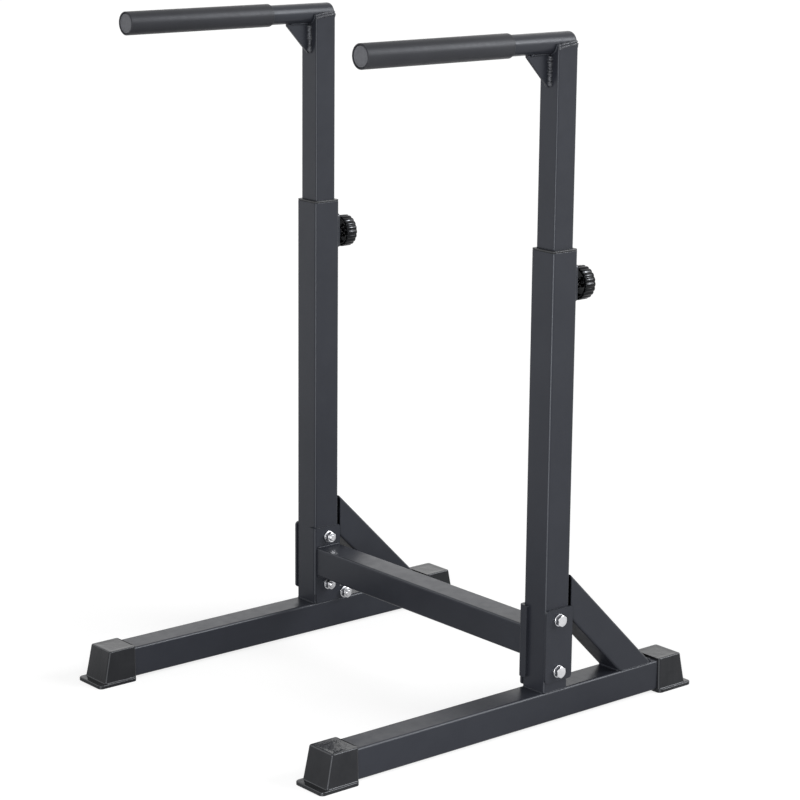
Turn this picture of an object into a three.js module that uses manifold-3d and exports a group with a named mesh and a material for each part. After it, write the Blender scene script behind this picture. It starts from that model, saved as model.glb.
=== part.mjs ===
// Free-standing dip station: two height-adjustable bars on a bolted steel frame.
// Millimetres, +X to the right, +Y to the back, +Z up. The user stands in front,
// where the free ends of the bars point. The origin is on the floor, under the
// middle of the outer box.

import * as THREE from 'three';
import { mergeVertices } from 'three/addons/utils/BufferGeometryUtils.js';
import Module from 'manifold-3d';

const wasm = await Module();
wasm.setup();

// Clearances
const fit = 0.3;              // between pieces that sit against each other
const slideClearance = 0.4;   // each side of a sliding fit
const boltClearance = 0.5;    // around a bolt's shank
const overrun = 5;            // how far a cutter runs past what it cuts

// Main tubes
const barSpacing = 580;       // centre to centre
const tube = { size: 50, wall: 2, corner: 4 };
const bush = { wall: 2.3, depth: 44, lip: 2.6 };   // plastic guide between upright and post
const postGap = tube.wall + fit + bush.wall + slideClearance;
const post = { size: tube.size - 2 * postGap, wall: 2, corner: 3, length: 620 };
const bar = { radius: 15.9, wall: 2 };
const barHeight = 1063;       // the bar's axis above the floor

// Feet and base rails
const foot = {
  floor: 5,                   // rubber under the rail
  wall: 3,
  topLength: 50,
  bodyFlare: 1.5,             // how far each side leans out at the flange
  endLean: 11,                // how far the end leans out at the flange
  flangeHeight: 5,
  flangeSide: 3,              // flange beyond the body, along the sides
  flangeEnd: 12,              // flange beyond the body, at the end
  corner: 4,
};
const rail = { front: -443, back: 273.5 };

// Uprights and braces; lengths along Y are measured from the upright's axis
const uprightLength = 696;
const brace = { angle: 45, footReach: 177 };

// Bracket behind and outside the foot of each upright, and the cross tube's end
// plates, which wrap round the upright's front
const bracket = { sheet: 4, frontLap: 1.5, bottomGap: 17, height: 118, corner: 6 };
const endPlate = { sheet: 4.5, wrap: 17, corner: 4 };
const ear = {
  reach: 21,                  // behind the upright
  boltReach: 10.5,
  boltRise: 11,
  height: 22,
  bottomGap: 1,
  corner: 5,
};
const crossTubeRise = 75;     // its axis above the rails
const boltOffset = 42;        // each bolt above or below the cross tube's axis

// Fasteners, M10
const bolt = { radius: 5, head: 6.4, headAcross: 17, tail: 3 };
const washer = { radius: 10, thickness: 2 };
const nut = { height: 10, across: 16, flange: 2.4, flangeRadius: 10 };

// Plastic guide at the post's foot
const glide = { height: 12, plugDepth: 30 };

// Bars
const barFront = -375;        // the bar's steel end
const rearCap = { thickness: 3 };
const barRear = post.size / 2;
const grip = { radius: 18.5, front: -379, back: -103, edge: 2 };
const plug = { head: 3, stem: 16, lipWall: 0.6 };
const gusset = { sheet: 5, reach: 46, drop: 49, nose: 3 };

// Height adjustment: a spring pin at the back of each upright
const pinDrop = 56;           // the pin's axis below the upright's top
const pin = {
  radius: 4,
  tipGap: 0.5,                // to the post while the pin is drawn
  collarRadius: 6,
  collar: 2,
  collarSeat: 10.5,           // tip to collar
  length: 38,
};
const hole = { radius: 4.5, pitch: 40, up: 6, down: 2 };
const pinPlate = { width: 44, height: 57, rise: 5, sheet: 4, corner: 5 };
const boss = { radius: 12, length: 10 };
const housing = { radius: 7.9, frontWall: 1.5, backWall: 3, length: 24, collar: 6, across: 20 };
const spring = { wire: 1.2, turns: 4, sides: 5, stepsPerTurn: 8 };
const knob = {
  radius: 26.5,
  flute: 1.2,                 // depth of the hollows between the lobes
  lobes: 20,
  depth: 21,
  gap: 18,                    // its rim to the upright's back
  rimWall: 5,
  faceWall: 6,
  hubRadius: 8,
  hubGrip: 4,                 // length of pin that the hub holds
  edge: 2.5,
  edgeShare: 0.35,            // where the rounded edge has its middle ring
};

// Fineness of round shapes
const roundSegments = 28;
const smallSegments = 12;
const cornerSegments = 3;
const lobeSegments = 4;

// Places that follow from the sizes
const half = tube.size / 2;
const railTop = foot.floor + tube.size;
const uprightBottom = railTop + fit;
const uprightTop = railTop + uprightLength;
const crossTubeHeight = railTop + crossTubeRise;
const boltHeights = [crossTubeHeight - boltOffset, crossTubeHeight + boltOffset];
const earBoltHeight = railTop + ear.boltRise;
const earBack = half + ear.reach;
const earBoltBack = half + ear.boltReach;
const flangeInside = half + fit;
const flangeOutside = flangeInside + bracket.sheet;
const plateOutside = flangeInside + endPlate.sheet;
const bracketBottom = railTop + bracket.bottomGap;
const bracketTop = bracketBottom + bracket.height;
const pinHeight = uprightTop - pinDrop;
const postTop = barHeight;
const postBottom = postTop - post.length;
const barBottom = barHeight - bar.radius;
const holeRadiusM10 = bolt.radius + boltClearance;
const boltTail = -(plateOutside + fit + nut.height + bolt.tail);
const outerBoxFront = rail.front - fit - foot.wall - foot.endLean - foot.flangeEnd;
const outerBoxBack = rail.back + fit + foot.wall + foot.endLean + foot.flangeEnd;

// Materials
function finish(color, roughness, metalness) {
  return () => new THREE.MeshStandardMaterial({ color, roughness, metalness });
}
const charcoalPaint = finish(0x3f4044, 0.5, 0.3);
const darkPlastic = finish(0x2a2a2c, 0.55, 0);
const greyPlastic = finish(0x5c5d61, 0.6, 0);
const glossPlastic = finish(0x101012, 0.25, 0);
const rubber = finish(0x3c3c3e, 0.85, 0);
const foam = finish(0x4c4d51, 0.8, 0);
const zinc = finish(0xc4c5c8, 0.35, 0.9);
const springSteel = finish(0x8c8d90, 0.4, 0.9);

// Solids from geometry, and back
function signedVolume(position, index) {
  const a = new THREE.Vector3();
  const b = new THREE.Vector3();
  const c = new THREE.Vector3();
  let sum = 0;
  for (let i = 0; i < index.length; i += 3) {
    a.fromBufferAttribute(position, index[i]);
    b.fromBufferAttribute(position, index[i + 1]);
    c.fromBufferAttribute(position, index[i + 2]);
    sum += a.dot(b.cross(c));
  }
  return sum;
}

function solid(geometry) {
  const bare = geometry.clone();
  bare.deleteAttribute('normal');
  bare.deleteAttribute('uv');
  const merged = mergeVertices(bare);
  const triangles = [];
  const index = merged.index.array;
  for (let i = 0; i < index.length; i += 3) {
    const [a, b, c] = [index[i], index[i + 1], index[i + 2]];
    if (a !== b && b !== c && c !== a) {
      triangles.push(a, b, c);
    }
  }
  const inwards = signedVolume(merged.attributes.position, triangles) < 0;
  if (inwards) {
    triangles.reverse();
  }
  return new wasm.Manifold(new wasm.Mesh({
    numProp: 3,
    vertProperties: new Float32Array(merged.attributes.position.array),
    triVerts: new Uint32Array(triangles),
  }));
}

function meshOf(name, shape, material) {
  const result = shape.getMesh();
  const geometry = new THREE.BufferGeometry();
  geometry.setAttribute('position', new THREE.BufferAttribute(result.vertProperties, 3));
  geometry.setIndex(new THREE.BufferAttribute(result.triVerts, 1));
  geometry.computeVertexNormals();
  const mesh = new THREE.Mesh(geometry, material());
  mesh.name = name;
  return mesh;
}

// Flat outlines
function roundedRectangle(width, height, corner, centreX = 0, centreY = 0) {
  const [x, y] = [width / 2 - corner, height / 2 - corner];
  const shape = new THREE.Shape();
  shape.absarc(centreX + x, centreY + y, corner, 0, Math.PI / 2);
  shape.absarc(centreX - x, centreY + y, corner, Math.PI / 2, Math.PI);
  shape.absarc(centreX - x, centreY - y, corner, Math.PI, 1.5 * Math.PI);
  shape.absarc(centreX + x, centreY - y, corner, 1.5 * Math.PI, 2 * Math.PI);
  return shape;
}

function squareTube({ size, wall, corner }) {
  const shape = roundedRectangle(size, size, corner);
  shape.holes.push(roundedRectangle(size - 2 * wall, size - 2 * wall, corner - wall / 2));
  return shape;
}

// Extrusions start at the origin and run along the named axis.
// Along X and Y, a shape's own y points up.
function alongZ(shape, length, segments = cornerSegments) {
  return new THREE.ExtrudeGeometry(shape, { depth: length, bevelEnabled: false, curveSegments: segments });
}

function alongY(shape, length, segments = cornerSegments) {
  return alongZ(shape, length, segments).rotateX(Math.PI / 2).translate(0, length, 0);
}

// The shape's own x then points along Y.
function alongX(shape, length, segments = cornerSegments) {
  return alongZ(shape, length, segments).rotateX(Math.PI / 2).rotateZ(Math.PI / 2);
}

function box(x0, x1, y0, y1, z0, z1) {
  const geometry = new THREE.BoxGeometry(x1 - x0, y1 - y0, z1 - z0);
  return solid(geometry.translate((x0 + x1) / 2, (y0 + y1) / 2, (z0 + z1) / 2));
}

function polygon(radius, sides) {
  const points = [];
  for (let i = 0; i < sides; i += 1) {
    const angle = i * 2 * Math.PI / sides;
    points.push(new THREE.Vector2(radius * Math.cos(angle), radius * Math.sin(angle)));
  }
  return new THREE.Shape(points);
}

// A closed profile of [radius, distance] points turned round the Y axis
function turned(profile, segments = roundSegments) {
  const points = profile.map(([radius, distance]) => new THREE.Vector2(radius, distance));
  points.push(points[0].clone());
  return new THREE.LatheGeometry(points, segments);
}

function rod(radius, y0, y1, segments = roundSegments) {
  return turned([[0, y0], [radius, y0], [radius, y1], [0, y1]], segments);
}

function sleeve(inner, outer, y0, y1, segments = roundSegments) {
  return turned([[inner, y0], [outer, y0], [outer, y1], [inner, y1]], segments);
}

function hexagonRod(across, y0, y1) {
  const shape = polygon(across / Math.sqrt(3), 6);
  return alongY(shape, y1 - y0).translate(0, y0, 0);
}

// From an axis along Y to one along X, with +Y turned to the outer side
function towardsSide(geometry, side) {
  return geometry.rotateZ(-side * Math.PI / 2);
}

// A closed body through rings of equally many points
function loft(rings) {
  const count = rings[0].length;
  const positions = rings.flat().flatMap((point) => [point.x, point.y, point.z]);
  const index = [];
  for (let ring = 0; ring + 1 < rings.length; ring += 1) {
    for (let i = 0; i < count; i += 1) {
      const a = ring * count + i;
      const b = ring * count + (i + 1) % count;
      index.push(a, b, b + count, a, b + count, a + count);
    }
  }
  const last = (rings.length - 1) * count;
  for (let i = 1; i + 1 < count; i += 1) {
    index.push(0, i + 1, i, last, last + i, last + i + 1);
  }
  const geometry = new THREE.BufferGeometry();
  geometry.setAttribute('position', new THREE.Float32BufferAttribute(positions, 3));
  geometry.setIndex(index);
  return geometry;
}

// Cutters through the bolt holes, along X
function boltHoles(heights, y, reach) {
  return heights.map((z) => {
    const cutter = towardsSide(rod(holeRadiusM10, -reach, reach, smallSegments), 1);
    return solid(cutter.translate(0, y, z));
  });
}

function cut(body, cutters) {
  return cutters.reduce((result, cutter) => result.subtract(cutter), body);
}

// Base rail with its rubber feet
function baseRail() {
  const geometry = alongY(squareTube(tube), rail.back - rail.front);
  return solid(geometry.translate(0, rail.front, foot.floor + half));
}

function footRing(z, side, y0, y1) {
  const outline = roundedRectangle(2 * side, y1 - y0, foot.corner, 0, (y0 + y1) / 2);
  const points = outline.getPoints(cornerSegments);
  return points.map((point) => new THREE.Vector3(point.x, point.y, z));
}

// The foot is drawn for the front end and turned half round for the back one.
function railFoot(isFront) {
  const end = isFront ? -rail.front : rail.back;
  const tip = end + fit + foot.wall;
  const mouth = tip - foot.topLength;
  const side = half + fit + foot.wall;
  const flared = side + foot.bodyFlare;
  const flangeSide = flared + foot.flangeSide;
  const bodyTip = tip + foot.endLean;
  const body = solid(loft([
    footRing(0, flangeSide, mouth, bodyTip + foot.flangeEnd),
    footRing(foot.flangeHeight, flangeSide, mouth, bodyTip + foot.flangeEnd),
    footRing(foot.flangeHeight, flared, mouth, bodyTip),
    footRing(railTop + fit + foot.wall, side, mouth, tip),
  ]));
  const pocketShape = roundedRectangle(tube.size + 2 * fit, tube.size + 2 * fit, tube.corner + fit);
  const pocketStart = mouth - overrun;
  const pocket = alongY(pocketShape, end + fit - pocketStart)
    .translate(0, pocketStart, foot.floor + half);
  const shape = body.subtract(solid(pocket));
  return isFront ? shape.rotate([0, 0, 180]) : shape;
}

// Brace: a mitred tube from the bracket's web down to the rail
function bracedTube() {
  const angle = THREE.MathUtils.degToRad(brace.angle);
  const length = (brace.footReach + tube.size) / Math.cos(angle) + tube.size;
  const geometry = alongY(squareTube(tube), length)
    .translate(0, -length + tube.size, 0)
    .rotateX(-angle)
    .translate(0, brace.footReach, railTop);
  const webBack = flangeOutside + fit;
  const keep = box(-tube.size, tube.size, webBack, length, uprightBottom, uprightTop);
  return solid(geometry).intersect(keep);
}

// A plate in the YZ plane with rounded corners; x0 is its left face
function sidePlate(x0, thickness, y0, y1, z0, z1, corner) {
  const outline = roundedRectangle(y1 - y0, z1 - z0, corner, (y0 + y1) / 2, (z0 + z1) / 2);
  return solid(alongX(outline, thickness).translate(x0, 0, 0));
}

function earPlate(x0, thickness, y0) {
  const bottom = railTop + ear.bottomGap;
  return sidePlate(x0, thickness, y0, earBack, bottom, bottom + ear.height, ear.corner);
}

// Both are drawn for the right side and mirrored for the left one.
function forSide(shape, side) {
  return side > 0 ? shape : shape.mirror([1, 0, 0]);
}

// One cheek outside the upright, a web behind it, and an ear on the inner side
function rearBracket(side) {
  const { sheet, corner } = bracket;
  const webBottom = bracketBottom + corner;
  const [front, back] = [-half - bracket.frontLap, flangeOutside];
  const cheek = sidePlate(flangeInside, sheet, front, back, bracketBottom, bracketTop, corner);
  const web = box(-half, flangeOutside, flangeInside, flangeOutside, webBottom, bracketTop - corner);
  const leg = box(-half, sheet - half, flangeInside, flangeOutside, earBoltHeight, webBottom + sheet);
  const tab = earPlate(-half, sheet, flangeInside);
  const shape = cheek.add(web).add(leg).add(tab);
  const earHole = boltHoles([earBoltHeight], earBoltBack, 2 * half);
  return forSide(cut(shape, [...boltHoles(boltHeights, 0, 2 * half), ...earHole]), side);
}

// One sheet on the upright's inner face, bent round its front; its foot runs back to an ear
function crossTubeEndPlate(side) {
  const { sheet, wrap, corner } = endPlate;
  const plate = sidePlate(-plateOutside, sheet, -plateOutside, half, bracketBottom, bracketTop, corner);
  const middle = (bracketBottom + bracketTop) / 2;
  const lipOutline = roundedRectangle(wrap, bracket.height, corner, wrap / 2 - plateOutside, middle);
  const lip = solid(alongY(lipOutline, sheet).translate(0, -plateOutside, 0));
  const length = plateOutside + earBack + overrun;
  const bendOutline = roundedRectangle(2 * plateOutside, length, sheet, 0, length / 2 - plateOutside);
  const bend = solid(alongZ(bendOutline, bracketTop));
  const shape = plate.add(lip).add(earPlate(-plateOutside, sheet, -half)).intersect(bend);
  const earHole = boltHoles([earBoltHeight], earBoltBack, 2 * half);
  return forSide(cut(shape, [...boltHoles(boltHeights, 0, 2 * half), ...earHole]), side);
}

// Upright with its bolt holes and the pin's hole at the back
function uprightTube() {
  const body = solid(alongZ(squareTube(tube), uprightTop - uprightBottom).translate(0, 0, uprightBottom));
  const pinHole = solid(rod(housing.radius + fit, 0, tube.size, smallSegments).translate(0, 0, pinHeight));
  return cut(body, [...boltHoles(boltHeights, 0, tube.size), pinHole]);
}

// Plastic guide bush with a lip that rests on the upright's top
function guideBush() {
  const inside = post.size + 2 * slideClearance;
  const outside = tube.size - 2 * tube.wall - 2 * fit;
  const opening = roundedRectangle(inside, inside, post.corner + slideClearance);
  const body = roundedRectangle(outside, outside, tube.corner - tube.wall / 2);
  body.holes.push(opening);
  const lip = roundedRectangle(tube.size, tube.size, tube.corner);
  lip.holes.push(opening);
  const lipBottom = uprightTop + fit;
  const sleevePart = solid(alongZ(body, bush.depth + bush.lip).translate(0, 0, lipBottom - bush.depth));
  const lipPart = solid(alongZ(lip, bush.lip).translate(0, 0, lipBottom));
  return sleevePart.add(lipPart);
}

// Post with a saddle for the bar and a row of holes at the back
function slidingPost() {
  const body = solid(alongZ(squareTube(post), post.length).translate(0, 0, postBottom));
  const saddle = solid(rod(bar.radius + fit, -post.size, post.size).translate(0, 0, barHeight));
  const holes = [];
  for (let step = -hole.down; step <= hole.up; step += 1) {
    const z = pinHeight + step * hole.pitch;
    holes.push(solid(rod(hole.radius, 0, post.size, smallSegments).translate(0, 0, z)));
  }
  return cut(body, [saddle, ...holes]);
}

function postGlide() {
  const outside = tube.size - 2 * tube.wall - 2 * slideClearance;
  const inside = post.size - 2 * post.wall - 2 * fit;
  const collarBottom = postBottom - fit - glide.height;
  const collar = alongZ(roundedRectangle(outside, outside, post.corner), glide.height)
    .translate(0, 0, collarBottom);
  const stemOutline = roundedRectangle(inside, inside, post.corner - post.wall / 2);
  const stem = alongZ(stemOutline, glide.height + glide.plugDepth).translate(0, 0, collarBottom);
  return solid(collar).add(solid(stem));
}

// Bar, its closed back end, front plug, grip and gusset
function handBar() {
  return solid(sleeve(bar.radius - bar.wall, bar.radius, barFront, barRear).translate(0, 0, barHeight));
}

function barRearCap() {
  const start = barRear + fit;
  return solid(rod(bar.radius, start, start + rearCap.thickness).translate(0, 0, barHeight));
}

function barFrontPlug() {
  const headRadius = bar.radius - plug.lipWall;
  const stemRadius = bar.radius - bar.wall - fit;
  const headBack = barFront - fit;
  const profile = [
    [0, headBack - plug.head],
    [headRadius, headBack - plug.head],
    [headRadius, headBack],
    [stemRadius, headBack],
    [stemRadius, headBack + plug.stem],
    [0, headBack + plug.stem],
  ];
  return solid(turned(profile).translate(0, 0, barHeight));
}

function gripSleeve() {
  const inner = bar.radius + fit;
  const profile = [
    [inner, grip.front],
    [grip.radius - grip.edge / 2, grip.front],
    [grip.radius, grip.front + grip.edge / 2],
    [grip.radius, grip.back - grip.edge],
    [grip.radius - grip.edge, grip.back],
    [inner, grip.back],
  ];
  return solid(turned(profile).translate(0, 0, barHeight));
}

function barGusset() {
  const y = -post.size / 2 - fit;
  const z = barBottom - fit;
  const outline = new THREE.Shape();
  outline.moveTo(y, z);
  outline.lineTo(y - gusset.reach, z);
  outline.lineTo(y - gusset.reach, z - gusset.nose);
  outline.lineTo(y - gusset.nose, z - gusset.drop);
  outline.lineTo(y, z - gusset.drop);
  outline.closePath();
  return solid(alongX(outline, gusset.sheet).translate(-gusset.sheet / 2, 0, 0));
}

// Spring pin: plate, boss and threaded housing on the frame; pin, spring and knob
const plateBack = half + fit + pinPlate.sheet;
const bossEnd = plateBack + fit + boss.length;
const housingStart = half - tube.wall + fit;
const housingEnd = housingStart + housing.length;
const pinTip = post.size / 2 + pin.tipGap;
const collarStart = pinTip + pin.collarSeat;
const collarEnd = collarStart + pin.collar;
const springSeat = housingEnd - housing.backWall;

function pinMountPlate() {
  const outline = roundedRectangle(pinPlate.width, pinPlate.height, pinPlate.corner, 0, pinPlate.rise);
  const plate = solid(alongY(outline, pinPlate.sheet).translate(0, half + fit, pinHeight));
  const bore = solid(rod(housing.radius + fit, 0, tube.size, smallSegments).translate(0, 0, pinHeight));
  return plate.subtract(bore);
}

function pinBoss() {
  const start = plateBack + fit;
  return solid(sleeve(housing.radius + fit, boss.radius, start, bossEnd, smallSegments)
    .translate(0, 0, pinHeight));
}

function pinHousing() {
  const pinBore = pin.radius + slideClearance;
  const springBore = pin.collarRadius + slideClearance;
  const profile = [
    [pinBore, housingStart],
    [housing.radius, housingStart],
    [housing.radius, housingEnd],
    [pinBore, housingEnd],
    [pinBore, springSeat],
    [springBore, springSeat],
    [springBore, housingStart + housing.frontWall],
    [pinBore, housingStart + housing.frontWall],
  ];
  const body = solid(turned(profile, smallSegments));
  const collarBack = bossEnd + fit + housing.collar;
  const collar = solid(hexagonRod(housing.across, bossEnd + fit, collarBack));
  const bore = solid(rod(housing.radius - fit, 0, collarBack + overrun, smallSegments));
  return body.add(collar.subtract(bore)).translate([0, 0, pinHeight]);
}

function pullPin() {
  const profile = [
    [0, pinTip],
    [pin.radius, pinTip],
    [pin.radius, collarStart],
    [pin.collarRadius, collarStart],
    [pin.collarRadius, collarEnd],
    [pin.radius, collarEnd],
    [pin.radius, pinTip + pin.length],
    [0, pinTip + pin.length],
  ];
  return solid(turned(profile, smallSegments).translate(0, 0, pinHeight));
}

class Helix extends THREE.Curve {
  constructor(radius, start, length, turns) {
    super();
    Object.assign(this, { radius, start, length, turns });
  }

  getPoint(share, target = new THREE.Vector3()) {
    const angle = share * this.turns * 2 * Math.PI;
    const y = this.start + share * this.length;
    return target.set(this.radius * Math.cos(angle), y, this.radius * Math.sin(angle));
  }
}

function pinSpring() {
  const wireRadius = spring.wire / 2;
  const radius = (pin.radius + pin.collarRadius + slideClearance) / 2;
  const start = collarEnd + fit + wireRadius;
  const end = springSeat - fit - wireRadius;
  const geometry = new THREE.ExtrudeGeometry(polygon(wireRadius, spring.sides), {
    steps: spring.turns * spring.stepsPerTurn,
    extrudePath: new Helix(radius, start, end - start, spring.turns),
  });
  return solid(geometry.translate(0, 0, pinHeight));
}

function lobedOutline(radius) {
  const points = [];
  const count = knob.lobes * lobeSegments;
  for (let i = 0; i < count; i += 1) {
    const angle = i * 2 * Math.PI / count;
    const hollow = (1 - Math.cos(knob.lobes * angle)) / 2;
    const reach = radius - knob.flute * hollow ** 2;
    points.push(new THREE.Vector2(reach * Math.cos(angle), reach * Math.sin(angle)));
  }
  return points;
}

function lobedRing(radius, y) {
  return lobedOutline(radius).map((point) => new THREE.Vector3(point.x, y, point.y));
}

// The knob's hollow side faces the upright; its hub holds the pin.
function pullKnob() {
  const start = half + knob.gap;
  const end = start + knob.depth;
  const body = solid(loft([
    lobedRing(knob.radius, start),
    lobedRing(knob.radius, end - knob.edge),
    lobedRing(knob.radius - knob.edge * knob.edgeShare, end - knob.edge * knob.edgeShare),
    lobedRing(knob.radius - knob.edge, end),
  ]));
  const cavityRadius = knob.radius - knob.flute - knob.rimWall;
  const cavity = solid(rod(cavityRadius, start - overrun, end - knob.faceWall));
  const pinEnd = pinTip + pin.length;
  const hub = solid(rod(knob.hubRadius, pinEnd - knob.hubGrip, end - knob.faceWall + fit, smallSegments));
  const bore = solid(rod(pin.radius + fit, start - overrun, pinEnd + fit, smallSegments));
  return body.subtract(cavity).add(hub).subtract(bore).translate([0, 0, pinHeight]);
}

// Fasteners, drawn along Y and turned to point their heads to the outer side
function hexBolt(side, headStart) {
  const shank = rod(bolt.radius, boltTail, headStart + bolt.head / 2, smallSegments);
  const head = hexagonRod(bolt.headAcross, headStart, headStart + bolt.head);
  return solid(towardsSide(shank, side)).add(solid(towardsSide(head, side)));
}

function plainWasher(side, start) {
  const ring = sleeve(holeRadiusM10, washer.radius, start, start + washer.thickness, smallSegments);
  return solid(towardsSide(ring, side));
}

// A flange nut bears on the end plate with its round flange.
function flangeNut(side) {
  const seat = -(plateOutside + fit);
  const flange = rod(nut.flangeRadius, seat - nut.flange, seat, smallSegments);
  const hexagon = hexagonRod(nut.across, seat - nut.height, seat - nut.flange / 2);
  const bore = rod(bolt.radius + fit, seat - nut.height - overrun, seat + overrun, smallSegments);
  const [body, grip, hollow] = [flange, hexagon, bore].map((part) => solid(towardsSide(part, side)));
  return body.add(grip).subtract(hollow);
}

function fasteners(side) {
  const flangeHead = flangeOutside + fit + washer.thickness + fit;
  const earHead = bracket.sheet + fit - half;
  const places = [
    { name: 'lower', y: 0, z: boltHeights[0], head: flangeHead, hasWasher: true },
    { name: 'upper', y: 0, z: boltHeights[1], head: flangeHead, hasWasher: true },
    { name: 'ear', y: earBoltBack, z: earBoltHeight, head: earHead, hasWasher: false },
  ];
  const pieces = [];
  for (const { name, y, z, head, hasWasher } of places) {
    pieces.push([`${name}_bolt`, hexBolt(side, head).translate([0, y, z]), zinc]);
    pieces.push([`${name}_nut`, flangeNut(side).translate([0, y, z]), zinc]);
    if (hasWasher) {
      const ring = plainWasher(side, flangeOutside + fit).translate([0, y, z]);
      pieces.push([`${name}_washer`, ring, zinc]);
    }
  }
  return pieces;
}

// Assembly
function buildSide(prefix, side) {
  const group = new THREE.Group();
  group.position.x = side * barSpacing / 2;
  const pieces = [
    ['base_rail', baseRail(), charcoalPaint],
    ['front_foot', railFoot(true), rubber],
    ['rear_foot', railFoot(false), rubber],
    ['brace', bracedTube(), charcoalPaint],
    ['bracket', rearBracket(side), charcoalPaint],
    ['upright', uprightTube(), charcoalPaint],
    ['end_plate', crossTubeEndPlate(side), charcoalPaint],
    ...fasteners(side),
    ['post_bush', guideBush(), darkPlastic],
    ['post', slidingPost(), charcoalPaint],
    ['post_glide', postGlide(), darkPlastic],
    ['hand_bar', handBar(), charcoalPaint],
    ['bar_rear_cap', barRearCap(), charcoalPaint],
    ['bar_front_plug', barFrontPlug(), greyPlastic],
    ['bar_gusset', barGusset(), charcoalPaint],
    ['grip', gripSleeve(), foam],
    ['pin_plate', pinMountPlate(), charcoalPaint],
    ['pin_boss', pinBoss(), charcoalPaint],
    ['pin_housing', pinHousing(), zinc],
    ['pull_pin', pullPin(), zinc],
    ['pin_spring', pinSpring(), springSteel],
    ['knob', pullKnob(), glossPlastic],
  ];
  for (const [name, shape, material] of pieces) {
    group.add(meshOf(`${prefix}_${name}`, shape, material));
  }
  return group;
}

function crossTube() {
  const end = barSpacing / 2 - plateOutside - fit;
  const geometry = alongX(squareTube(tube), 2 * end).translate(-end, 0, crossTubeHeight);
  return meshOf('cross_tube', solid(geometry), charcoalPaint);
}

const dipStation = new THREE.Group();
dipStation.position.y = -(outerBoxFront + outerBoxBack) / 2;
dipStation.add(buildSide('left', -1), buildSide('right', 1), crossTube());

export default dipStation;
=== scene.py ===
"""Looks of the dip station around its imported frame.

Lengths are in millimetres until a mesh is made, and in the side's own frame:
X from the upright's axis, Y from the upright's axis to the back, Z from the floor.
"""

import math

import bmesh
import bpy
from mathutils import Matrix, Vector, noise


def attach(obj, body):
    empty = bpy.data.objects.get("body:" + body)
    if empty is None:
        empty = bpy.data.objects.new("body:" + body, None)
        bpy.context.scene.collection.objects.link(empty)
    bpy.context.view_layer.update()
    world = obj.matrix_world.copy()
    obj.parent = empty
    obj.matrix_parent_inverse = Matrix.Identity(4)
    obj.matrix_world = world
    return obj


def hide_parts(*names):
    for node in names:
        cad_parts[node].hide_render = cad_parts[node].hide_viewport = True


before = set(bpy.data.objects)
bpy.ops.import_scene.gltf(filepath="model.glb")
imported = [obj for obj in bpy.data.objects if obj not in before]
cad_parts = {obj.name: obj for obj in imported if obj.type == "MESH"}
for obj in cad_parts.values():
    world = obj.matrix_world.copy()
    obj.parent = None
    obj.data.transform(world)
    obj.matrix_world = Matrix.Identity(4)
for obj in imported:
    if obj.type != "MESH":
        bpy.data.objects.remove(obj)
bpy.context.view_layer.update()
scene = bpy.context.scene

MM = 0.001
SIDES = (("left", -1), ("right", 1))
X, Y, Z = range(3)


# Sizes read from the frame, on the right side
def span(node, axis, origin=0.0):
    """The least and the greatest place of a CAD node along an axis, from an origin."""
    places = [vertex.co[axis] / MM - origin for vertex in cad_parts[node].data.vertices]
    return round(min(places), 2), round(max(places), 2)


def extent(node, axis):
    low, high = span(node, axis)
    return round(high - low, 2)


def middle(node, axis, origin=0.0):
    return round(sum(span(node, axis, origin)) / 2, 2)


HALF_SPACING = middle("right_upright", X)
AXIS_Y = middle("right_upright", Y)
TUBE = extent("right_upright", X)
POST = extent("right_post", X)
POST_LOW = span("right_post", Z)[0]
RAIL_TOP = span("right_base_rail", Z)[1]
RAIL_FRONT, RAIL_BACK = span("right_base_rail", Y, AXIS_Y)
UPRIGHT_TOP = span("right_upright", Z)[1]
CROSS_Z = middle("cross_tube", Z)
BAR_Z = middle("right_hand_bar", Z)
BAR_R = extent("right_hand_bar", Z) / 2
BAR_FRONT, BAR_REAR = span("right_hand_bar", Y, AXIS_Y)
GRIP_R = extent("right_grip", X) / 2
GRIP_FRONT, GRIP_BACK = span("right_grip", Y, AXIS_Y)
KNOB_R = extent("right_knob", Z) / 2
KNOB_START, KNOB_END = span("right_knob", Y, AXIS_Y)
PIN_Z = middle("right_knob", Z)
FLANGE_IN, FLANGE_OUT = span("right_pin_plate", Y, AXIS_Y)
PLATE_OUT = -span("right_end_plate", X, HALF_SPACING)[0]
EAR_BACK = span("right_bracket", Y, AXIS_Y)[1]
SHEET_HIGH = span("right_bracket", Z)[1]
BOLT_KINDS = ("lower", "upper", "ear")
BOLT_SPOTS = [(middle(f"right_{kind}_bolt", Y, AXIS_Y), middle(f"right_{kind}_bolt", Z))
              for kind in BOLT_KINDS]

# Sizes that aren't read from the frame
FIT = 0.3
HALF = TUBE / 2
TUBE_WALL, TUBE_CORNER = 2.0, 4.0
POST_WALL, POST_CORNER = 2.0, 3.0
SLIDE = 0.4                                  # the post's clearance in the bush
BAR_WALL = 2.0
BRACE_ANGLE, BRACE_REACH = 45.0, 177.0
SHEET_LOW = RAIL_TOP + 17.0
BOLT_R, BOLT_HEAD, HEAD_ACROSS, BOLT_TAIL = 5.0, 6.4, 17.0, 3.0
HOLE_R, WASHER_HOLE_R = BOLT_R + 0.5, BOLT_R + 0.6
NUT, NUT_ACROSS, NUT_BASE = 10.0, 16.0, 2.0      # the base is the flange below the hexagon
NUT_FLANGE, NUT_FLANGE_R = 2.4, 10.0
WASHER, WASHER_R = 2.0, 10.0
POST_HOLE_R, HOLE_PITCH, HOLES_BELOW, HOLES_ABOVE = 4.5, 40.0, 2, 6
PLATE_CORNER, HOUSING_BORE_R = 5.0, 8.2


# Meshes from rings of points
def to_axis(axis, u, v, t):
    """u and v lie across the axis and t along it; v points up on the level axes."""
    return {"x": (t, u, v), "y": (u, t, v), "z": (u, v, t)}[axis]


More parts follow.
